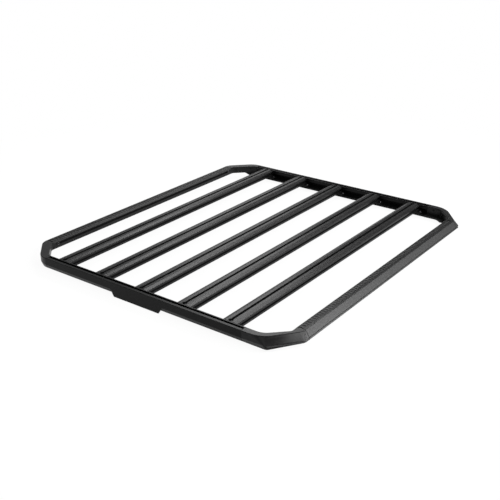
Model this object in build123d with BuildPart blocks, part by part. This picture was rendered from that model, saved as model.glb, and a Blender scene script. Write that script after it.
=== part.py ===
from build123d import *
import os
from math import atan, atan2, cos, hypot, sin, tan
from typing import NamedTuple

# Flat platform roof rack: two side rails, two end rails and four cast corners make a frame,
# and crossbars stand on brackets between the side rails. All sizes are in millimetres.
# X runs across the vehicle, Y along it with the front at -Y, and Z is up.

# Overall plan
overall_width = 1500.0
side_rail_length = 1001.0
front_corner_run = 177.0
rear_corner_run = 139.6
edge_radius = 1.5

# Side rail: a top slot, a hollow outer wall and a wide lower flange that carries the bars
rail_height = 46.0
rail_top_width = 30.0
rail_slot_offset = 18.5
rail_slot_mouth = 12.0
rail_slot_cavity = 18.0
rail_slot_depth = 12.0
rail_box_depth = 15.0
rail_web = 14.0
rail_wall = 2.5
rail_lip = 3.0
rail_face_drop = 30.0
rail_bevel_run = 6.5
flange_reach = 57.0
flange_thickness = 8.0
flange_groove_offset = 33.5
flange_groove_width = 13.0
flange_groove_depth = 4.0

# Crossbars
bar_count = 5
bar_end_margin = 73.5
bar_width = 64.0
bar_height = 30.0
bar_flat_width = 36.0
bar_shoulder_drop = 4.2
bar_wall = 2.5
bar_slot_mouth = 9.5
bar_slot_cavity = 17.0
bar_slot_depth = 10.5
bar_side_slot_top = 12.0
bar_side_slot_mouth = 9.0
bar_side_slot_cavity = 14.0
bar_side_slot_depth = 9.5
bar_entry_radius = 8.0
bar_entry_inset = 10.0

# Brackets between the bars and the flange
bracket_width = 62.0
bracket_ear = 17.0
bracket_ear_thickness = 4.0
bracket_reach = 39.0
bracket_inset = 16.0

# End rails
end_rail_height = 33.0
end_top_width = 34.0
end_slope_run = 17.3
end_slope_drop = 24.2
end_bevel = 6.6
end_groove_depth = 2.5
end_groove_height = 4.3
end_lip_run = 3.0
end_lip_drop = 4.2
end_slot_top = 8.8
end_slot_mouth = 10.0
end_slot_cavity = 14.0
end_slot_depth = 9.5
end_wall = 2.5

# Grip strips let into the end rails
strip_margin = 10.0
strip_gap = 0.9
strip_width = 22.0
strip_depth = 2.2
strip_base = 1.0
strip_rib_pitch = 16.3
strip_rib_width = 9.0
strip_end_gap = 5.0

# Corners: a chamfer is given by where its line meets the lines of the side's and the end's top edge.
# The front corners lean out to a sharper foot, and the rear corners stand upright.
front_chamfer_side = 95.4
front_chamfer_end = 121.2
front_foot_side = 79.2
front_foot_end = 89.3
front_foot_bend = 16.0
front_foot_nose = 22.0
front_straight = 32.0
front_nose_radius = 36.0
front_hollow_nose = 12.0
front_inner_chamfer = 137.0
front_inner_bend = 60.0
front_groove_slant = 0.3
rear_chamfer = 103.5
rear_straight = 6.0
rear_nose_radius = 55.0
rear_hollow_nose = 40.0
rear_inner_chamfer = 156.0
rear_inner_bend = 26.0
corner_end_run = 1.2
corner_inner_nose = 22.0
corner_wall = 4.0
front_ledge_run = 22.0
ledge_taper = 30.0
ledge_bend = 45.0
tongue_length = 17.0
tongue_clearance = 0.3

# Side plate
plate_length = 266.0
plate_drop = 59.0
plate_foot = 4.0
plate_end_rake = 18.0

# Places that follow from the sizes
top_z = plate_drop
top_length = front_corner_run + side_rail_length + rear_corner_run
front_reach = end_slope_run - end_groove_depth + end_lip_run
front_edge = (front_reach - top_length) / 2
front_to_rear = Plane.XZ.offset(-front_reach / 2)
rail_front = front_edge + front_corner_run
rail_rear = rail_front + side_rail_length
rail_middle = (rail_front + rail_rear) / 2
left_face = -overall_width / 2
flange_top_drop = rail_height - flange_thickness
end_inner = end_top_width + end_bevel
strip_channel_end = strip_margin + strip_gap + strip_width
diagonal = 2**0.5
rear_bevel = rail_bevel_run * (end_rail_height - end_slope_drop) / (rail_height - end_slope_drop)
bar_length = overall_width - 2 * rail_top_width
bar_pitch = (side_rail_length - 2 * bar_end_margin) / (bar_count - 1)
bar_places = [rail_front + bar_end_margin + bar_pitch * i for i in range(bar_count)]


class CornerForm(NamedTuple):
    """Sizes that tell the front corners from the rear ones."""

    run: float
    straight: float
    chamfer: tuple
    foot: tuple
    foot_bends: tuple
    slope_run: float
    nose_radius: float
    hollow_nose: float
    inner_chamfer: float
    inner_bend: float
    inner_top: float
    foot_steps: list
    underside_inset: float
    ledge_run: float

    def bend_tangent(self):
        """Length of the side's bend along the straight beside it, for a radius of one."""
        return tan(atan2(self.chamfer[1], self.chamfer[0]) / 2)

    def bend_radius(self):
        return (self.run - self.chamfer[0] - self.straight) / self.bend_tangent()

    def seam(self):
        """Distance from a side rail's outer face to the seam between a corner and its end rail."""
        nose_tangent = tan(atan2(*self.chamfer) / 2)
        return self.chamfer[1] + self.nose_radius * nose_tangent + corner_end_run


front_form = CornerForm(
    run=front_corner_run,
    straight=front_straight,
    chamfer=(front_chamfer_side, front_chamfer_end),
    foot=(front_foot_side, front_foot_end),
    foot_bends=(front_foot_bend, front_foot_nose),
    slope_run=end_slope_run,
    nose_radius=front_nose_radius,
    hollow_nose=front_hollow_nose,
    inner_chamfer=front_inner_chamfer,
    inner_bend=front_inner_bend,
    inner_top=end_top_width,
    foot_steps=[
        (front_groove_slant, end_groove_depth),
        (end_groove_height, end_groove_depth),
        (end_groove_height + end_lip_drop, end_groove_depth - end_lip_run),
    ],
    underside_inset=end_groove_depth - end_lip_run,
    ledge_run=front_ledge_run,
)
rear_form = CornerForm(
    run=rear_corner_run,
    straight=rear_straight,
    chamfer=(rear_chamfer, rear_chamfer),
    foot=(rear_chamfer, rear_chamfer),
    foot_bends=None,
    slope_run=0,
    nose_radius=rear_nose_radius,
    hollow_nose=rear_hollow_nose,
    inner_chamfer=rear_inner_chamfer,
    inner_bend=rear_inner_bend,
    inner_top=end_inner,
    foot_steps=[],
    underside_inset=rail_bevel_run,
    ledge_run=0,
)


def xz_plane(x, y, z):
    """Upright plane across Y with its origin at a given place; extrusions run towards the front."""
    return Plane(origin=(x, y, z), x_dir=(1, 0, 0), z_dir=(0, -1, 0))


def yz_plane(x, y, z):
    """Upright plane across X with its origin at a given place; extrusions run to the right."""
    return Plane(origin=(x, y, z), x_dir=(0, 1, 0), z_dir=(1, 0, 0))


def save(part, name):
    """Label one finished piece and write it."""
    part.label = name
    export_step(part, f"parts/{name}.step")


def side_rail(name, right):
    """Extruded side rail between the two corner seams."""
    with BuildPart() as rail:
        with BuildSketch(xz_plane(left_face, rail_rear, top_z)):
            Polygon(
                (0, 0),
                (rail_top_width, 0),
                (rail_top_width, -rail_box_depth),
                (rail_web, -rail_box_depth),
                (rail_web, -flange_top_drop),
                (flange_reach, -flange_top_drop),
                (flange_reach, -rail_height),
                (rail_bevel_run, -rail_height),
                (0, -rail_face_drop),
                align=None,
            )
            fillet(vertices().group_by(Axis.Y)[-1], edge_radius)
            fillet(vertices().group_by(Axis.X)[-1], edge_radius)
            # Top slot: a narrow mouth over a wider cavity
            with Locations((rail_slot_offset, 0)):
                Rectangle(
                    rail_slot_mouth,
                    rail_slot_depth,
                    align=(Align.CENTER, Align.MAX),
                    mode=Mode.SUBTRACT,
                )
            with Locations((rail_slot_offset, -rail_lip)):
                Rectangle(
                    rail_slot_cavity,
                    rail_slot_depth - rail_lip,
                    align=(Align.CENTER, Align.MAX),
                    mode=Mode.SUBTRACT,
                )
            # Groove along the flange for the bracket bolts
            with Locations((flange_groove_offset, -flange_top_drop)):
                Rectangle(
                    flange_groove_width,
                    flange_groove_depth,
                    align=(Align.CENTER, Align.MAX),
                    mode=Mode.SUBTRACT,
                )
            # Hollow chamber behind the outer face
            Polygon(
                (rail_wall, -rail_box_depth),
                (rail_web - rail_wall, -rail_box_depth),
                (rail_web - rail_wall, -rail_height + rail_wall),
                (rail_bevel_run + rail_wall, -rail_height + rail_wall),
                (rail_wall, -rail_face_drop),
                align=None,
                mode=Mode.SUBTRACT,
            )
        extrude(amount=side_rail_length)
        if right:
            mirror(about=Plane.YZ, mode=Mode.REPLACE)
    save(rail.part, name)


def crossbar(name, place):
    """Hollow extruded bar with a slot along its top and one along each side."""
    half = bar_width / 2
    shoulder = bar_flat_width / 2
    with BuildPart() as bar:
        with BuildSketch(yz_plane(-bar_length / 2, place, top_z)):
            Polygon(
                (-shoulder, 0),
                (shoulder, 0),
                (half, -bar_shoulder_drop),
                (half, -bar_height),
                (-half, -bar_height),
                (-half, -bar_shoulder_drop),
                align=None,
            )
            fillet(vertices(), edge_radius)
            Rectangle(bar_slot_mouth, bar_slot_depth, align=(Align.CENTER, Align.MAX), mode=Mode.SUBTRACT)
            with Locations((0, -bar_wall)):
                Rectangle(
                    bar_slot_cavity,
                    bar_slot_depth - bar_wall,
                    align=(Align.CENTER, Align.MAX),
                    mode=Mode.SUBTRACT,
                )
            side_slot_middle = -bar_side_slot_top - bar_side_slot_mouth / 2
            for side in (-1, 1):
                with Locations((side * (half - bar_side_slot_depth / 2), side_slot_middle)):
                    Rectangle(bar_side_slot_depth, bar_side_slot_mouth, mode=Mode.SUBTRACT)
                with Locations((side * (half - (bar_side_slot_depth + bar_wall) / 2), side_slot_middle)):
                    Rectangle(bar_side_slot_depth - bar_wall, bar_side_slot_cavity, mode=Mode.SUBTRACT)
            # Hollow chamber under the top slot
            with Locations((0, -bar_slot_depth - bar_wall)):
                Rectangle(
                    2 * (half - bar_side_slot_depth - bar_wall),
                    bar_height - bar_slot_depth - 2 * bar_wall,
                    align=(Align.CENTER, Align.MAX),
                    mode=Mode.SUBTRACT,
                )
        extrude(amount=bar_length)
        # Round entries near both ends, where bolt heads drop into the top slot
        entry_x = bar_length / 2 - bar_entry_inset
        with BuildSketch(Plane.XY.offset(top_z)):
            with Locations((-entry_x, place), (entry_x, place)):
                Circle(bar_entry_radius)
        extrude(amount=-bar_slot_depth, mode=Mode.SUBTRACT)
    save(bar.part, name)


def bar_bracket(name, place, right):
    """Seat that lifts a bar's end off the flange, with a bolt ear on each side."""
    rise = flange_top_drop - bar_height
    with BuildPart() as bracket:
        with BuildSketch(yz_plane(left_face + bracket_inset, place, top_z - flange_top_drop)):
            Rectangle(
                bracket_width + 2 * bracket_ear,
                bracket_ear_thickness,
                align=(Align.CENTER, Align.MIN),
            )
            Rectangle(bracket_width, rise, align=(Align.CENTER, Align.MIN))
        extrude(amount=bracket_reach)
        if right:
            mirror(about=Plane.YZ, mode=Mode.REPLACE)
    save(bracket.part, name)


def end_rail(name, form, rear):
    """Extruded end rail with a slot along its inner face; the front one has a sloped outer face."""
    length = overall_width - 2 * form.seam()
    groove_floor = -form.slope_run + end_groove_depth
    chamber_top = -strip_depth - end_wall
    chamber_floor = -end_rail_height + end_wall
    if rear:
        outer_face = [(rear_bevel, -end_rail_height), (0, -end_slope_drop)]
        chamber_foot = (rear_bevel + end_wall, chamber_floor)
        chamber_shoulder = (end_wall, chamber_top)
    else:
        outer_face = [
            (groove_floor - end_lip_run, -end_rail_height),
            (groove_floor - end_lip_run, -end_slope_drop - end_groove_height - end_lip_drop),
            (groove_floor, -end_slope_drop - end_groove_height),
            (groove_floor, -end_slope_drop),
            (-form.slope_run, -end_slope_drop),
        ]
        chamber_foot = (groove_floor + end_wall, chamber_floor)
        chamber_shoulder = (groove_floor + end_wall, -end_slope_drop)
    with BuildPart() as rail:
        with BuildSketch(yz_plane(-length / 2, front_edge, top_z)):
            Polygon(
                (0, 0),
                (strip_margin, 0),
                (strip_margin, -strip_depth),
                (strip_channel_end, -strip_depth),
                (strip_channel_end, 0),
                (end_top_width, 0),
                (end_inner, -end_bevel),
                (end_inner, -end_rail_height),
                *outer_face,
                align=None,
            )
            for edge_place in ((0, 0), (end_top_width, 0)):
                fillet(vertices().sort_by_distance(edge_place)[0], edge_radius)
            slot_middle = -end_slot_top - end_slot_mouth / 2
            with Locations((end_inner - end_slot_depth / 2, slot_middle)):
                Rectangle(end_slot_depth, end_slot_mouth, mode=Mode.SUBTRACT)
            cavity_depth = end_slot_depth - end_wall
            with Locations((end_inner - end_wall - cavity_depth / 2, -end_slot_top)):
                Rectangle(
                    cavity_depth,
                    end_slot_cavity,
                    align=(Align.CENTER, Align.MAX),
                    mode=Mode.SUBTRACT,
                )
            # Hollow chamber under the strip
            Polygon(
                (strip_margin, chamber_top),
                (end_inner - end_slot_depth - end_wall, chamber_top),
                (end_inner - end_slot_depth - end_wall, chamber_floor),
                chamber_foot,
                chamber_shoulder,
                align=None,
                mode=Mode.SUBTRACT,
            )
        extrude(amount=length)
        if rear:
            mirror(about=front_to_rear, mode=Mode.REPLACE)
    save(rail.part, name)


def grip_strip(name, form, rear):
    """Ribbed strip that fills the shallow channel along an end rail's top."""
    length = overall_width - 2 * (form.seam() + strip_end_gap)
    rib_count = int((length - strip_rib_width) // strip_rib_pitch) + 1
    rib_height = strip_depth - strip_base
    with BuildPart() as strip:
        with BuildSketch(xz_plane(0, front_edge + strip_margin + strip_gap, top_z - strip_depth)):
            Rectangle(length, strip_base, align=(Align.CENTER, Align.MIN))
            with Locations((0, strip_base + rib_height / 2)):
                with GridLocations(strip_rib_pitch, 0, rib_count, 1):
                    Rectangle(strip_rib_width, rib_height)
        extrude(amount=-strip_width)
        if rear:
            mirror(about=front_to_rear, mode=Mode.REPLACE)
    save(strip.part, name)


def along_diagonal(x, y):
    """How far a plan point of a left front corner lies along the corner's diagonal."""
    return (x - y) / diagonal


def corner_level(run, seam_x, end_y, side_drop, end_drop, points):
    """Tilted plane through one level of a corner, and the plan points of its outline laid on it."""
    start = along_diagonal(0, run)
    tilt = atan((side_drop - end_drop) / (along_diagonal(seam_x, end_y) - start))
    level = Plane(
        origin=(left_face, front_edge + run, top_z - side_drop),
        x_dir=(cos(tilt) / diagonal, -cos(tilt) / diagonal, sin(tilt)),
        z_dir=(-sin(tilt) / diagonal, sin(tilt) / diagonal, cos(tilt)),
    )
    outline = [((along_diagonal(x, y) - start) / cos(tilt), (x + y - run) / diagonal) for x, y in points]
    return level, outline


def moved_in(line, inset):
    """Where a line meets the two top edges once it has moved inwards."""
    side, end = line
    return side + inset * hypot(side, end) / end, end + inset * hypot(side, end) / side


def corner_outline(run, seam_x, side_x, end_y, outer, inner_x, inner_y, inner):
    """Plan points of one level, between the outer chamfer's line and the inner one's."""
    return [
        (side_x, run),
        (side_x, outer[0] * (1 - side_x / outer[1])),
        (outer[1] * (1 - end_y / outer[0]), end_y),
        (seam_x, end_y),
        (seam_x, inner_y),
        (inner - inner_y, inner_y),
        (inner_x, inner - inner_x),
        (inner_x, run),
    ]


def corner_levels(form, wall):
    """Levels of a corner, or of the hollow a wall's thickness inside it, from the top down.

    Each level has its plane, its outline and the radii of its four bends.
    """
    seam_x = form.seam()
    bend, nose = form.bend_radius(), form.nose_radius
    foot_bend, foot_nose = form.foot_bends or (bend, nose)
    # The inner wall stands half as far in on the diagonal as the end rail's bevel reaches
    wall_inner = form.inner_chamfer + (end_inner - form.inner_top) / 2 * diagonal
    top_inner = (form.inner_top, form.inner_chamfer)
    # Share of the face's height, inset of the outline, and the inner edge's two places
    if wall:
        steps = [(wall / rail_face_drop, wall, *top_inner)]
    else:
        steps = [(0, edge_radius, *top_inner), (edge_radius / rail_face_drop, 0, *top_inner)]
    steps += [(end_bevel / end_slope_drop, wall, end_inner, wall_inner), (1, wall, end_inner, wall_inner)]
    levels = []
    for share, inset, inner_y, inner in steps:
        face_y = -share * form.slope_run
        line = [top + share * (foot - top) for top, foot in zip(form.chamfer, form.foot)]
        points = corner_outline(
            form.run - wall,
            seam_x - wall,
            inset,
            face_y + inset,
            moved_in(line, inset),
            rail_top_width - inset,
            inner_y - inset,
            inner - inset * diagonal,
        )
        plane, outline = corner_level(
            form.run, seam_x, face_y, share * rail_face_drop, share * end_slope_drop, points
        )
        radii = (
            bend + share * (foot_bend - bend) - inset,
            form.hollow_nose if wall else nose + share * (foot_nose - nose) - inset,
            corner_inner_nose,
            form.inner_bend,
        )
        levels.append((plane, outline, radii))
    # Below the foot the rail's bevel goes on, or changes into the end rail's groove and lip
    bevel_drop = rail_height - rail_face_drop
    foot_steps = [] if wall else form.foot_steps
    for drop, inset in [*foot_steps, (bevel_drop, form.underside_inset)]:
        points = corner_outline(
            form.run - wall,
            seam_x - wall,
            rail_bevel_run * drop / bevel_drop + wall,
            -form.slope_run + inset + wall,
            moved_in(form.foot, inset + wall),
            rail_top_width - wall,
            end_inner - wall,
            wall_inner - wall * diagonal,
        )
        end_drop = rail_height if drop == bevel_drop else end_slope_drop + drop
        plane, outline = corner_level(
            form.run, seam_x, -form.slope_run, rail_face_drop + drop, end_drop, points
        )
        outer_radii = [radius - inset for radius in radii[:2]]
        levels.append((plane, outline, (*outer_radii, *radii[2:])))
    return levels


def corner(name, form, rear, right):
    """Cast corner that turns a side rail's section into an end rail's on its way round."""
    run, inner = form.run, form.inner_chamfer
    seam_x = form.seam()
    ledge_line = inner + (flange_reach - rail_top_width) * diagonal
    bend_end = along_diagonal(0, form.chamfer[0]) + form.bend_radius() * form.bend_tangent()
    ledge_end = bend_end + form.ledge_run
    taper_end = ledge_end + ledge_taper

    with BuildPart() as piece:
        # Shell, ruled between its levels and open below
        for wall, mode in ((0, Mode.ADD), (corner_wall, Mode.SUBTRACT)):
            for plane, outline, radii in corner_levels(form, wall):
                with BuildSketch(plane):
                    Polygon(*outline, align=None)
                    for index, radius in zip((1, 2, 5, 6), radii):
                        fillet(vertices().sort_by_distance(outline[index])[0], radius)
            loft(ruled=True, mode=mode)
        # Ledge that goes on from the side rail's flange and dies away along the inner wall
        bend_place = (flange_reach, ledge_line - flange_reach)
        ledge = [
            (rail_top_width, run),
            (flange_reach, run),
            ((inner + taper_end * diagonal) / 2, (inner - taper_end * diagonal) / 2),
            (rail_top_width, inner - rail_top_width),
        ]
        if form.ledge_run:
            ledge_tip = ((ledge_line + ledge_end * diagonal) / 2, (ledge_line - ledge_end * diagonal) / 2)
            ledge[2:2] = [bend_place, ledge_tip]
        with BuildSketch(Plane(origin=(left_face, front_edge, top_z - flange_top_drop))):
            Polygon(*ledge, align=None)
            if form.ledge_run:
                fillet(vertices().sort_by_distance(bend_place)[0], ledge_bend)
        extrude(amount=-flange_thickness)
        # Underside that rises from the side rail's depth to the end rail's
        if form.ledge_run:
            foot_end = form.foot[1] * (1 + form.slope_run / form.foot[0])
            rise_start = along_diagonal(0, form.foot[0])
            rise_end = along_diagonal(foot_end, -form.slope_run)
        else:
            rise_start, rise_end = ledge_end, taper_end
        with BuildSketch(
            Plane(
                origin=(left_face, front_edge, top_z),
                x_dir=(1 / diagonal, -1 / diagonal, 0),
                z_dir=(-1 / diagonal, -1 / diagonal, 0),
            )
        ):
            Polygon(
                (rise_start, -rail_height),
                (rise_end, -end_rail_height),
                (rise_end + seam_x, -end_rail_height),
                (rise_end + seam_x, -rail_height),
                align=None,
            )
        extrude(amount=run + seam_x, both=True, mode=Mode.SUBTRACT)
        # Tongue that plugs the end of the end rail's slot
        with BuildSketch(yz_plane(left_face + seam_x, front_edge, top_z)):
            with Locations((end_inner, -end_slot_top - tongue_clearance)):
                Rectangle(
                    end_slot_depth - tongue_clearance,
                    end_slot_mouth - 2 * tongue_clearance,
                    align=(Align.MAX, Align.MAX),
                )
        extrude(amount=tongue_length)
        if rear:
            mirror(about=front_to_rear, mode=Mode.REPLACE)
        if right:
            mirror(about=Plane.YZ, mode=Mode.REPLACE)
    save(piece.part, name)


def side_plate(name):
    """Plain plate under the left rail's outer face, seated on the rail's bevel."""
    with BuildPart() as plate:
        with BuildSketch(xz_plane(left_face, rail_middle + plate_length / 2, top_z)):
            Polygon(
                (0, -rail_face_drop),
                (rail_bevel_run, -rail_height),
                (plate_foot, -plate_drop),
                (0, -plate_drop),
                align=None,
            )
        extrude(amount=plate_length)
        half = plate_length / 2
        with BuildSketch(yz_plane(left_face, rail_middle, top_z)):
            Polygon(
                (-half, -rail_face_drop),
                (half, -rail_face_drop),
                (half - plate_end_rake, -plate_drop),
                (-half + plate_end_rake, -plate_drop),
                align=None,
            )
        extrude(amount=rail_bevel_run, mode=Mode.INTERSECT)
    save(plate.part, name)


side_rail("left_side_rail", right=False)
side_rail("right_side_rail", right=True)
end_rail("front_end_rail", front_form, rear=False)
end_rail("rear_end_rail", rear_form, rear=True)
grip_strip("front_grip_strip", front_form, rear=False)
grip_strip("rear_grip_strip", rear_form, rear=True)
for side_name, is_right in (("left", False), ("right", True)):
    corner(f"front_{side_name}_corner", front_form, rear=False, right=is_right)
    corner(f"rear_{side_name}_corner", rear_form, rear=True, right=is_right)
for number, bar_place in enumerate(bar_places, start=1):
    crossbar(f"crossbar_{number}", bar_place)
    bar_bracket(f"left_bracket_{number}", bar_place, right=False)
    bar_bracket(f"right_bracket_{number}", bar_place, right=True)
side_plate("left_side_plate")
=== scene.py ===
from math import asin, cos, pi, radians, sin, tan

import bmesh
import bpy
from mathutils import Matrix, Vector


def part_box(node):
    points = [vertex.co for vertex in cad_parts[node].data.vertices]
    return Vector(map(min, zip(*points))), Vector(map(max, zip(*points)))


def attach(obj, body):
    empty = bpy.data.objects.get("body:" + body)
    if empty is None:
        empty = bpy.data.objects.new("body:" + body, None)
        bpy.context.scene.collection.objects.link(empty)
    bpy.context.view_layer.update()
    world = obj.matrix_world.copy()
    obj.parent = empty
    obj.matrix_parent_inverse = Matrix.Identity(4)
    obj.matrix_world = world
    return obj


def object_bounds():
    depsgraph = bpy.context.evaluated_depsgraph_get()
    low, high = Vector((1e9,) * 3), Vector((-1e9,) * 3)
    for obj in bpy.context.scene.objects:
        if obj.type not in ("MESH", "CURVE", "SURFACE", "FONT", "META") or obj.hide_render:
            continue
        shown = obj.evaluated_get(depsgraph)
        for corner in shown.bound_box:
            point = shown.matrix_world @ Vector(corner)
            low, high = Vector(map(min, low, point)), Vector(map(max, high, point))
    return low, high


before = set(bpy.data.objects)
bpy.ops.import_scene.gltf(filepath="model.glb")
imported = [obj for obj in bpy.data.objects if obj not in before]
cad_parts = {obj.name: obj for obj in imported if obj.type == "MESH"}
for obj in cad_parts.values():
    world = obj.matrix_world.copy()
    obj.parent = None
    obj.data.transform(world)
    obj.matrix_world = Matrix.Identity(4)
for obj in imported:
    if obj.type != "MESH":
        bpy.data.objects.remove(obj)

# Lengths are in metres. X runs along the bars, Y along the side rails towards the rear, and Z up.
cad_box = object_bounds()
MM = 0.001
TOP = cad_box[1].z
UP = Vector((0, 0, 1))
FRONT_REACH = 17.8 * MM          # how far the front lip reaches past the top's front edge

# Camera, solved from the photograph's two vanishing points and placed from the top's front left point
CAMERA_LEFT = 1.9755
CAMERA_BEFORE = 1.3203
CAMERA_ABOVE = 1.4118
CAMERA_PLACE = Vector((
    cad_box[0].x - CAMERA_LEFT,
    cad_box[0].y + FRONT_REACH - CAMERA_BEFORE,
    TOP + CAMERA_ABOVE,
))
CAMERA_AZIMUTH = radians(-53.566)
CAMERA_PITCH = radians(24.108)
FOCAL_PIXELS = 826.27
PICTURE_PIXELS = 500
SENSOR_MM = 36.0
CLIP_NEAR = 0.05
CLIP_FAR = 100

# Finishes. Each pair of colours, roughnesses or noise values gives the low and the high end of a span.
NOISE_SPAN = (0.3, 0.7)
COAT_SPAN = (0.35, 0.65)
STEEL_SPAN = (0.35, 0.7)
COLOUR_CLOUDS = 9.0              # scale of the clouds in a coat's colour
GLOSS_CLOUDS = 7.0               # scale of the clouds in a coat's roughness
COAT_BUMP = 0.35
INK = ((0.005, 0.005, 0.0052), (0.007, 0.007, 0.0072))
# Painted shade: a darker, less glossy copy of the powder coat that darkens the side rails' faces; the
# plate takes it too
SHADE_INK = ((0.0025, 0.0025, 0.0026), (0.0035, 0.0035, 0.0036))
RUBBER_BLACK = ((0.008, 0.008, 0.008), (0.013, 0.013, 0.013))
SHADED_COAT = dict(colours=SHADE_INK, rough=(0.30, 0.31), ior=1.19, grain=900.0, depth=0.004 * MM)
COATS = {
    "powder_coat": dict(colours=INK, rough=(0.30, 0.31), ior=1.24, grain=900.0, depth=0.004 * MM),
    "cast_coat": dict(colours=INK, rough=(0.31, 0.32), ior=1.24, grain=620.0, depth=0.006 * MM),
    "bracket_coat": dict(colours=INK, rough=(0.45, 0.52), ior=1.24, grain=1100.0, depth=0.01 * MM),
    "grip_rubber": dict(colours=RUBBER_BLACK, rough=(0.42, 0.50), ior=1.27, grain=1500.0, depth=0.02 * MM),
    "rail_shaded_coat": SHADED_COAT,
    "plate_shaded_coat": SHADED_COAT,
}
# The first of these words that is in a node's name gives its coat
COAT_OF_WORD = {
    "corner": "cast_coat",
    "bracket": "bracket_coat",
    "strip": "grip_rubber",
    "plate": "plate_shaded_coat",
    "side_rail": "rail_shaded_coat",
}
COAT_OF_OTHERS = "powder_coat"
STEEL_COLOURS = ((0.03, 0.03, 0.032), (0.07, 0.07, 0.073))
STEEL_ROUGH = (0.28, 0.46)
STEEL_RUB = 420.0
STEEL_GRAIN = 2600.0
STEEL_BUMP = 0.2
STEEL_DEPTH = 0.05 * MM
# Painted shade: matt black for sockets, the bars' bolts, the corners' holes and the dark lines
PAINTED_SHADE_COLOURS = ((0.004, 0.004, 0.004), (0.009, 0.009, 0.009))
PAINTED_SHADE_ROUGH = 0.8
PAINTED_SHADE_IOR = 1.2
PAINTED_SHADE_GRAIN = 500.0

# Bolts: a head's radius and height, and half the width across the flats of its socket.
# The profile of a head is in shares of its radius and height.
BRACKET_BOLT = (6.2 * MM, 4.0 * MM, 2.5 * MM)
BAR_BOLT = (6.0 * MM, 4.0 * MM, 2.5 * MM)
SLOT_BOLT = (6.0 * MM, 2.4 * MM, 3.0 * MM)
# Flat painted-shade disc that stands in for a hole in a corner's inner wall
HOLE_SHADE_DISC = (5.5 * MM, 0.8 * MM, 3.0 * MM)
RAIL_SCREW = (4.6 * MM, 2.2 * MM, 2.0 * MM)
HEAD_PROFILE = ((1.0, 0.0), (1.0, 0.55), (0.95, 0.78), (0.84, 0.94), (0.72, 1.0))
HEAD_SLOT = 0                    # material slots of a bolt; the socket's slot takes the painted-shade black
SOCKET_SHADE_SLOT = 1
SOCKET_RIM = 1.30                # radius of the rim, as a share of the socket's half width
SOCKET_CHAMFER = 0.12            # drop of the rim's chamfer, as a share of the same
SOCKET_DEPTH = 0.6               # share of the head's height
WASHER_RADIUS = 7.4 * MM
WASHER_HEIGHT = 1.4 * MM
WASHER_BEVEL = 0.28 * MM
RING_POINTS = 24
RING_ANGLES = [2 * pi * i / RING_POINTS for i in range(RING_POINTS)]

# Places of the bolts. Runs and drops in the corners count from a corner's outer top point.
EAR_BOLT_INSET = 8.2 * MM        # from the end of a bracket's ear
EAR_BOLT_RAIL = 17.5 * MM        # from a bracket's outer side
EAR_THICKNESS = 4.0 * MM
BAR_BOLT_INSET = 10.0 * MM       # from a bar's end to the middle of its round entry
BAR_SLOT_DEPTH = 10.5 * MM
SLOT_BOLT_PAST_SEAM = 26.6 * MM
SLOT_BOLT_DROP = 13.8 * MM
RAIL_TOP_WIDTH = 30.0 * MM
# Places of the painted-shade discs over the corners' holes
FRONT_HOLE_RUN = 144.0 * MM
REAR_HOLE_RUNS = ((101.4 * MM, 54.6 * MM), (46.2 * MM, 109.8 * MM))
REAR_SCREW_RUN = 147.5 * MM
HOLE_DROP = 12.5 * MM
SCREW_DROP = 9.5 * MM

# Painted shade as dark lines: round the joints (their own dark line, widened for the gap's shade and
# rounded edges), along the edges of the bars' slots and in the front rail's groove.
# Each jointed rail has the axis that it runs along.
LINE_RISE = 0.12 * MM
JOINT_WIDTH = 2.2 * MM
JOINTED_RAILS = {"left_side_rail": 1, "right_side_rail": 1, "front_end_rail": 0, "rear_end_rail": 0}
END_FACING = 0.99                # least share of an end face's normal that lies along the rail
END_REACH = 0.1 * MM             # most that an end face may lie away from the rail's end
POINTS_A_METRE = 1e5             # points of an outline that round to the same step are one point
BAR_SLOT_MOUTH = 9.5 * MM
BAR_ENTRY_RADIUS = 8.0 * MM
SLOT_SHADE_WIDTH = 1.1 * MM
ENTRY_SHADE_WIDTH = 1.9 * MM
ENTRY_STEPS = 12
SLOPE_RUN = 17.3 * MM
SLOPE_DROP = 24.2 * MM
GROOVE_DEPTH = 2.5 * MM
GROOVE_HEIGHT = 4.3 * MM
GROOVE_LAP = 1.2 * MM

# Studio: floor, dome and lamps
WHITE = (1, 1, 1, 1)
FLOOR_HALF = 20.0
FLOOR_COLOUR = (0.95, 0.95, 0.95, 1)
FLOOR_GLOW = (0.94, 1.0)         # share of plain white in the floor, near and far
FLOOR_GLOW_REACH = (1.0, 2.2)    # distances from the middle at which these shares hold
HORIZON_TOP = radians(7)
DOME_FOOT = radians(15)
DOME_LEVEL = 0.12
LAMP_DISTANCE = 6.0
BACK_AZIMUTHS = (90, 145, 200)


def set_camera():
    """Camera at the photograph's place, looking down at its angle."""
    data = bpy.data.cameras.new("camera")
    data.sensor_width = SENSOR_MM
    data.lens = FOCAL_PIXELS / PICTURE_PIXELS * SENSOR_MM
    data.clip_start = CLIP_NEAR
    data.clip_end = CLIP_FAR
    camera = bpy.data.objects.new("camera", data)
    ahead = Vector((
        -sin(CAMERA_AZIMUTH) * cos(CAMERA_PITCH),
        cos(CAMERA_AZIMUTH) * cos(CAMERA_PITCH),
        -sin(CAMERA_PITCH),
    ))
    camera.location = CAMERA_PLACE
    camera.rotation_euler = ahead.to_track_quat("-Z", "Y").to_euler()
    bpy.context.scene.collection.objects.link(camera)
    bpy.context.scene.camera = camera


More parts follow.
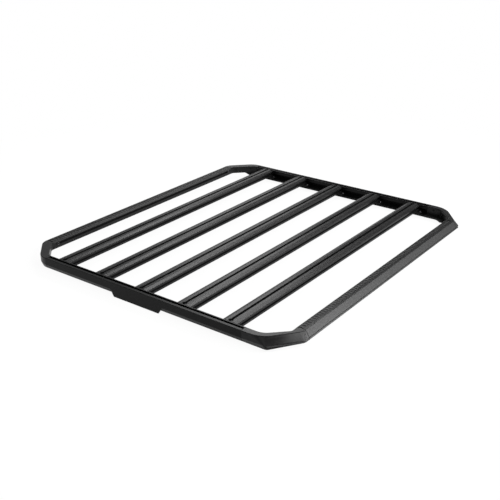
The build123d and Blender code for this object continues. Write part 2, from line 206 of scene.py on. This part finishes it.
class Nodes:
    """Shorthand for building one material's node tree."""

    def __init__(self, name):
        self.material = bpy.data.materials.new(name)
        self.material.use_nodes = True
        self.tree = self.material.node_tree
        self.shader = self.tree.nodes["Principled BSDF"]
        self.output = self.tree.nodes["Material Output"]

    def add(self, kind, **settings):
        """New node, with settings for its inputs or for the node itself."""
        node = self.tree.nodes.new(kind)
        for key, value in settings.items():
            if key in node.inputs:
                node.inputs[key].default_value = value
            else:
                setattr(node, key, value)
        return node

    def link(self, source, target):
        """Link from an output to an input."""
        self.tree.links.new(source, target)

    def place(self):
        """Coordinates in metres, the same in every view."""
        return self.add("ShaderNodeTexCoord").outputs["Object"]

    def noise(self, place, scale, detail=3.0, rough=0.55):
        """Noise from 0 to 1."""
        node = self.add("ShaderNodeTexNoise", Scale=scale, Detail=detail, Roughness=rough)
        self.link(place, node.inputs["Vector"])
        return node.outputs["Fac"]

    def spread(self, value, ends, span=NOISE_SPAN):
        """Number that goes from one end to the other while a value runs over a span."""
        node = self.add("ShaderNodeMapRange")
        node.inputs["From Min"].default_value = span[0]
        node.inputs["From Max"].default_value = span[1]
        node.inputs["To Min"].default_value = ends[0]
        node.inputs["To Max"].default_value = ends[1]
        self.link(value, node.inputs["Value"])
        return node.outputs["Result"]

    def ramp(self, value, colours, span=NOISE_SPAN):
        """Colour that goes from one to the other while a value runs over a span."""
        node = self.add("ShaderNodeValToRGB")
        for element, at, colour in zip(node.color_ramp.elements, span, colours):
            element.position = at
            element.color = (*colour, 1)
        self.link(value, node.inputs["Fac"])
        return node.outputs["Color"]

    def bump(self, height, strength, distance):
        """Fine relief on the shader's normal."""
        node = self.add("ShaderNodeBump", Strength=strength, Distance=distance)
        self.link(height, node.inputs["Height"])
        self.link(node.outputs["Normal"], self.shader.inputs["Normal"])


def coat_material(name, colours, rough, ior, grain, depth):
    """Black coat: cloudy colour and gloss, with a fine orange-peel skin."""
    n = Nodes(name)
    place = n.place()
    clouds = n.noise(place, COLOUR_CLOUDS, detail=4.0)
    n.link(n.ramp(clouds, colours, COAT_SPAN), n.shader.inputs["Base Color"])
    gloss = n.noise(place, GLOSS_CLOUDS, detail=1.0)
    n.link(n.spread(gloss, rough), n.shader.inputs["Roughness"])
    n.bump(n.noise(place, grain, detail=2.0), COAT_BUMP, depth)
    n.shader.inputs["IOR"].default_value = ior
    return n.material


def steel_material():
    """Blackened steel of the fasteners, rubbed brighter in places."""
    n = Nodes("fastener_steel")
    place = n.place()
    rub = n.noise(place, STEEL_RUB, detail=4.0)
    n.link(n.ramp(rub, STEEL_COLOURS, STEEL_SPAN), n.shader.inputs["Base Color"])
    n.link(n.spread(rub, STEEL_ROUGH), n.shader.inputs["Roughness"])
    n.bump(n.noise(place, STEEL_GRAIN, detail=2.0), STEEL_BUMP, STEEL_DEPTH)
    n.shader.inputs["Metallic"].default_value = 1.0
    return n.material


def dark_material():
    """Painted shade: matt black for sockets, the bars' bolts, the discs over the corners' holes and the
    dark lines, put where there is shade.
    """
    n = Nodes("painted_shade_black")
    grain = n.noise(n.place(), PAINTED_SHADE_GRAIN)
    n.link(n.ramp(grain, PAINTED_SHADE_COLOURS), n.shader.inputs["Base Color"])
    n.shader.inputs["Roughness"].default_value = PAINTED_SHADE_ROUGH
    n.shader.inputs["IOR"].default_value = PAINTED_SHADE_IOR
    return n.material


def dress_nodes():
    """Every CAD piece takes the finish of its own kind."""
    finishes = {name: coat_material(name, **values) for name, values in COATS.items()}
    for name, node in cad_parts.items():
        kinds = [coat for word, coat in COAT_OF_WORD.items() if word in name]
        kinds.append(COAT_OF_OTHERS)
        node.data.materials.clear()
        node.data.materials.append(finishes[kinds[0]])


def nodes_with(word):
    """Names of the CAD nodes that have a word in them, in order."""
    return [name for name in sorted(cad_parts) if word in name]


def hex_radius(angle, flat):
    """Radius of a hexagon with the given half width across flats."""
    sixth = pi / 3
    return flat / cos((angle + sixth / 2) % sixth - sixth / 2)


def ring_points(radii, up):
    """One ring round a bolt's axis, with a radius for each of its angles."""
    return [(radius * cos(angle), radius * sin(angle), up) for radius, angle in zip(radii, RING_ANGLES)]


def add_bolt(bm, place, axis, size, washer=False):
    """Round-headed bolt with a hexagon socket, seated at a place and facing along an axis."""
    radius, height, flat = size
    turn = axis.to_track_quat("Z", "Y").to_matrix()
    profile = []
    base = 0.0
    if washer:
        base = WASHER_HEIGHT
        profile += [
            (WASHER_RADIUS, 0.0),
            (WASHER_RADIUS, base - WASHER_BEVEL),
            (WASHER_RADIUS - WASHER_BEVEL, base),
        ]
    top = base + height
    profile += [(radius * out, base + height * up) for out, up in HEAD_PROFILE]
    profile.append((flat * SOCKET_RIM, top))
    rings = [ring_points([ring_radius] * RING_POINTS, up) for ring_radius, up in profile]
    socket = [hex_radius(angle, flat) for angle in RING_ANGLES]
    for up in (top - SOCKET_CHAMFER * flat, base + height * (1 - SOCKET_DEPTH)):
        rings.append(ring_points(socket, up))
    made = [[bm.verts.new(place + turn @ Vector(p)) for p in ring] for ring in rings]
    for lower, upper in zip(made, made[1:]):
        for i in range(RING_POINTS):
            j = (i + 1) % RING_POINTS
            face = bm.faces.new((lower[i], lower[j], upper[j], upper[i]))
            face.smooth = True
            face.material_index = SOCKET_SHADE_SLOT if upper is made[-1] else HEAD_SLOT
    socket_floor = bm.faces.new(made[-1])
    socket_floor.material_index = SOCKET_SHADE_SLOT


def finish_piece(bm, name, materials):
    """Turn a bmesh into a named piece that rides on the frame."""
    bmesh.ops.recalc_face_normals(bm, faces=bm.faces)
    mesh = bpy.data.meshes.new(name)
    bm.to_mesh(mesh)
    bm.free()
    for material in materials:
        mesh.materials.append(material)
    piece = bpy.data.objects.new(name, mesh)
    bpy.context.scene.collection.objects.link(piece)
    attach(piece, "root")


def corner_origins():
    """Outer top point of each corner, with the ways that lead inwards along X and Y."""
    for end, y, inward_y in (("front", cad_box[0].y + FRONT_REACH, 1), ("rear", cad_box[1].y, -1)):
        for x, inward_x in ((cad_box[0].x, 1), (cad_box[1].x, -1)):
            yield end, Vector((x, y, TOP)), inward_x, inward_y


def fasten_brackets(steel, dark):
    """A bolt with a washer on each ear of every bracket."""
    bm = bmesh.new()
    for name in nodes_with("bracket"):
        low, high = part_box(name)
        x = low.x + EAR_BOLT_RAIL if name.startswith("left") else high.x - EAR_BOLT_RAIL
        for y in (low.y + EAR_BOLT_INSET, high.y - EAR_BOLT_INSET):
            add_bolt(bm, Vector((x, y, low.z + EAR_THICKNESS)), UP, BRACKET_BOLT, washer=True)
    finish_piece(bm, "bracket_bolts", (steel, dark))


def fasten_bars(dark):
    """Bolts sunk in the round entries at both ends of every bar, all in painted-shade black so that the
    entries read as dark.
    """
    bm = bmesh.new()
    for name in nodes_with("crossbar"):
        low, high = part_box(name)
        for x in (low.x + BAR_BOLT_INSET, high.x - BAR_BOLT_INSET):
            place = Vector((x, (low.y + high.y) / 2, high.z - BAR_SLOT_DEPTH))
            add_bolt(bm, place, UP, BAR_BOLT)
    finish_piece(bm, "shaded_bar_bolts", (dark, dark))


def fasten_end_rails(steel, dark):
    """Bolts in the end rails' inner slots, near the corners."""
    bm = bmesh.new()
    for name, inward in (("front_end_rail", 1), ("rear_end_rail", -1)):
        low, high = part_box(name)
        y = high.y if inward > 0 else low.y
        for x in (low.x + SLOT_BOLT_PAST_SEAM, high.x - SLOT_BOLT_PAST_SEAM):
            place = Vector((x, y, high.z - SLOT_BOLT_DROP))
            add_bolt(bm, place, Vector((0, inward, 0)), SLOT_BOLT)
    finish_piece(bm, "slot_bolts", (steel, dark))


def fasten_corners(steel, dark):
    """Painted-shade discs standing in for the holes in the corners' inner walls, and screws where the rear
    corners meet the side rails.
    """
    hole_shades = bmesh.new()
    screws = bmesh.new()
    for end, origin, inward_x, inward_y in corner_origins():
        across = Vector((inward_x, 0, 0))
        if end == "front":
            place = origin + Vector((inward_x * RAIL_TOP_WIDTH, inward_y * FRONT_HOLE_RUN, -HOLE_DROP))
            add_bolt(hole_shades, place, across, HOLE_SHADE_DISC)
            continue
        slanting = Vector((inward_x, inward_y, 0)).normalized()
        for side_run, end_run in REAR_HOLE_RUNS:
            place = origin + Vector((inward_x * side_run, inward_y * end_run, -HOLE_DROP))
            add_bolt(hole_shades, place, slanting, HOLE_SHADE_DISC)
        place = origin + Vector((inward_x * RAIL_TOP_WIDTH, inward_y * REAR_SCREW_RUN, -SCREW_DROP))
        add_bolt(screws, place, across, RAIL_SCREW)
    finish_piece(hole_shades, "corner_hole_shades", (dark, dark))
    finish_piece(screws, "rail_screws", (steel, dark))


def add_ribbon(bm, rows):
    """Strip of faces between rows of points that run side by side."""
    made = [[bm.verts.new(point) for point in row] for row in rows]
    for near, far in zip(made, made[1:]):
        for i in range(len(near) - 1):
            bm.faces.new((near[i], near[i + 1], far[i + 1], far[i]))


def end_outline(node, axis, at):
    """Edges round the flat end of an extruded node, each with its two ends and its outward way."""
    place = node.matrix_world
    sides = {}
    for face in node.data.polygons:
        points = [place @ node.data.vertices[i].co for i in face.vertices]
        facing = (place.to_3x3() @ face.normal).normalized()
        if abs(facing[axis]) < END_FACING or abs(points[0][axis] - at) > END_REACH:
            continue
        for a, b in zip(points, points[1:] + points[:1]):
            key = frozenset(tuple(round(c * POINTS_A_METRE) for c in p) for p in (a, b))
            sides.setdefault(key, []).append((a, b, (b - a).cross(facing).normalized()))
    return [found[0] for found in sides.values() if len(found) == 1]


def line_joints(dark):
    """Thin dark line round each seam between a rail and a corner: the joint's own dark line, widened as
    painted shade of the gap and the rounded edges.
    """
    bm = bmesh.new()
    for name, axis in JOINTED_RAILS.items():
        half = Vector((0, 0, 0))
        half[axis] = JOINT_WIDTH / 2
        for at in (box_corner[axis] for box_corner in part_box(name)):
            for a, b, out in end_outline(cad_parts[name], axis, at):
                rise = out * LINE_RISE
                add_ribbon(bm, [(p - half, p - half + rise, p + half + rise, p + half) for p in (a, b)])
    finish_piece(bm, "joint_shade_lines", (dark,))


def edge_steps(width):
    """Steps outwards and upwards over an edge: inside it, over it, across, and down to the top face."""
    return ((0, -LINE_RISE), (0, LINE_RISE), (width, LINE_RISE), (width, 0))


def line_slots(dark):
    """Painted shade: dark strips over the edges along both sides of the bars' top slots and round their
    entries.
    """
    bm = bmesh.new()
    open_angle = asin(BAR_SLOT_MOUTH / 2 / BAR_ENTRY_RADIUS)
    sweep = pi - 2 * open_angle
    arc = [open_angle + sweep * i / ENTRY_STEPS for i in range(ENTRY_STEPS + 1)]
    for name in nodes_with("crossbar"):
        low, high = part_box(name)
        middle = (low.y + high.y) / 2
        entries = (low.x + BAR_BOLT_INSET, high.x - BAR_BOLT_INSET)
        ends = (entries[0] + BAR_ENTRY_RADIUS, entries[1] - BAR_ENTRY_RADIUS)
        for side in (-1, 1):
            add_ribbon(bm, [
                [(x, middle + side * (BAR_SLOT_MOUTH / 2 + out), high.z + up) for x in ends]
                for out, up in edge_steps(SLOT_SHADE_WIDTH)
            ])
            for x in entries:
                rows = []
                for out, up in edge_steps(ENTRY_SHADE_WIDTH):
                    radius = BAR_ENTRY_RADIUS + out
                    rows.append([
                        (x + radius * cos(angle), middle + side * radius * sin(angle), high.z + up)
                        for angle in arc
                    ])
                add_ribbon(bm, rows)
    finish_piece(bm, "slot_edge_shade", (dark,))


def line_groove(dark):
    """Painted shade: a dark strip lining the groove under the front rail's slope, lapped over the slope's
    lower edge.
    """
    bm = bmesh.new()
    low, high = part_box("front_end_rail")
    edge = Vector((cad_box[0].y + FRONT_REACH - SLOPE_RUN, TOP - SLOPE_DROP))
    slope = Vector((SLOPE_RUN, SLOPE_DROP)).normalized()
    out = Vector((-slope.y, slope.x)) * LINE_RISE
    lap = edge + slope * GROOVE_LAP
    ceiling = edge.y - LINE_RISE
    bottom = edge.y - GROOVE_HEIGHT
    back = edge.x + GROOVE_DEPTH
    section = (
        lap,
        lap + out,
        edge + out,
        (edge.x + out.x, ceiling),
        (back - LINE_RISE, ceiling),
        (back - LINE_RISE, bottom),
        (back, bottom),
    )
    add_ribbon(bm, [[(x, y, z) for x in (low.x, high.x)] for y, z in section])
    finish_piece(bm, "groove_shade", (dark,))


def fasten():
    """Bolts, painted-shade discs over the corners' holes and painted-shade lines, all too small for the
    solids.
    """
    steel = steel_material()
    dark = dark_material()
    fasten_brackets(steel, dark)
    fasten_bars(dark)
    fasten_end_rails(steel, dark)
    fasten_corners(steel, dark)
    line_joints(dark)
    line_slots(dark)
    line_groove(dark)


def floor_material():
    """White that glows to the camera and to mirror rays, and keeps a faint shadow near the middle."""
    n = Nodes("floor_white")
    n.tree.nodes.remove(n.shader)
    diffuse = n.add("ShaderNodeBsdfDiffuse", Color=FLOOR_COLOUR)
    glow = n.add("ShaderNodeEmission", Color=WHITE, Strength=1.0)
    rays = n.add("ShaderNodeLightPath")
    shown = rays.outputs["Is Camera Ray"]
    for kind in ("Is Glossy Ray", "Is Transmission Ray"):
        either = n.add("ShaderNodeMath", operation="MAXIMUM")
        n.link(shown, either.inputs[0])
        n.link(rays.outputs[kind], either.inputs[1])
        shown = either.outputs[0]
    away = n.add("ShaderNodeVectorMath", operation="LENGTH")
    n.link(n.place(), away.inputs[0])
    share = n.add("ShaderNodeMath", operation="MULTIPLY")
    n.link(shown, share.inputs[0])
    n.link(n.spread(away.outputs["Value"], FLOOR_GLOW, FLOOR_GLOW_REACH), share.inputs[1])
    mix = n.add("ShaderNodeMixShader")
    n.link(share.outputs[0], mix.inputs["Fac"])
    n.link(diffuse.outputs[0], mix.inputs[1])
    n.link(glow.outputs[0], mix.inputs[2])
    n.link(mix.outputs[0], n.output.inputs["Surface"])
    return n.material


def set_floor():
    """Plain white floor under the object."""
    bm = bmesh.new()
    bmesh.ops.create_grid(bm, x_segments=1, y_segments=1, size=FLOOR_HALF)
    mesh = bpy.data.meshes.new("floor")
    bm.to_mesh(mesh)
    bm.free()
    mesh.materials.append(floor_material())
    floor = bpy.data.objects.new("floor", mesh)
    bpy.context.scene.collection.objects.link(floor)


def set_world():
    """Dim dome that is white only in a low band round the horizon."""
    world = bpy.data.worlds.new("studio")
    bpy.context.scene.world = world
    world.use_nodes = True
    tree = world.node_tree
    background = tree.nodes["Background"]
    place = tree.nodes.new("ShaderNodeTexCoord")
    split = tree.nodes.new("ShaderNodeSeparateXYZ")
    ramp = tree.nodes.new("ShaderNodeValToRGB")
    band, dome = ramp.color_ramp.elements
    band.position = sin(HORIZON_TOP)
    band.color = WHITE
    dome.position = sin(DOME_FOOT)
    dome.color = (DOME_LEVEL, DOME_LEVEL, DOME_LEVEL, 1)
    tree.links.new(place.outputs["Generated"], split.inputs[0])
    tree.links.new(split.outputs["Z"], ramp.inputs["Fac"])
    tree.links.new(ramp.outputs["Color"], background.inputs["Color"])
    background.inputs["Strength"].default_value = 1.0


def add_softbox(name, azimuth, elevation, wide, tall, level):
    """Lamp that faces the middle, with its size in degrees; level is its brightness against white."""
    data = bpy.data.lights.new(name, "AREA")
    data.shape = "RECTANGLE"
    data.size = 2 * LAMP_DISTANCE * tan(radians(wide / 2))
    data.size_y = 2 * LAMP_DISTANCE * tan(radians(tall / 2))
    data.energy = level * pi * data.size * data.size_y
    lamp = bpy.data.objects.new(name, data)
    toward = Vector((
        cos(radians(azimuth)) * cos(radians(elevation)),
        sin(radians(azimuth)) * cos(radians(elevation)),
        sin(radians(elevation)),
    ))
    lamp.location = toward * LAMP_DISTANCE
    lamp.rotation_euler = toward.to_track_quat("Z", "Y").to_euler()
    lamp.visible_camera = False
    bpy.context.scene.collection.objects.link(lamp)


def set_lamps():
    """Ring of softboxes round a dark studio, with azimuths in degrees from +X towards +Y."""
    add_softbox("front_key", azimuth=-97, elevation=39, wide=36, tall=14, level=17.0)
    add_softbox("front_bridge", azimuth=-70, elevation=25, wide=20, tall=12, level=17.0)
    add_softbox("front_low", azimuth=-52, elevation=12, wide=13, tall=13, level=21.0)
    add_softbox("front_low_edge", azimuth=-39, elevation=12, wide=13, tall=13, level=3.8)
    add_softbox("right_middle", azimuth=-20, elevation=44, wide=16, tall=22, level=7.2)
    add_softbox("right_high", azimuth=17, elevation=51, wide=20, tall=13, level=12.8)
    add_softbox("far_high", azimuth=38, elevation=38, wide=13, tall=13, level=6.4)
    add_softbox("far_low", azimuth=38, elevation=25, wide=14, tall=13, level=2.6)
    add_softbox("far_left", azimuth=56, elevation=23, wide=16, tall=14, level=0.65)
    add_softbox("overhead", azimuth=0, elevation=88, wide=32, tall=32, level=1.0)
    for azimuth in BACK_AZIMUTHS:
        add_softbox(f"back_{azimuth}", azimuth, elevation=28, wide=26, tall=16, level=1.8)


set_camera()
dress_nodes()
fasten()
set_floor()
set_world()
set_lamps()
bpy.context.scene.view_settings.view_transform = "Standard"
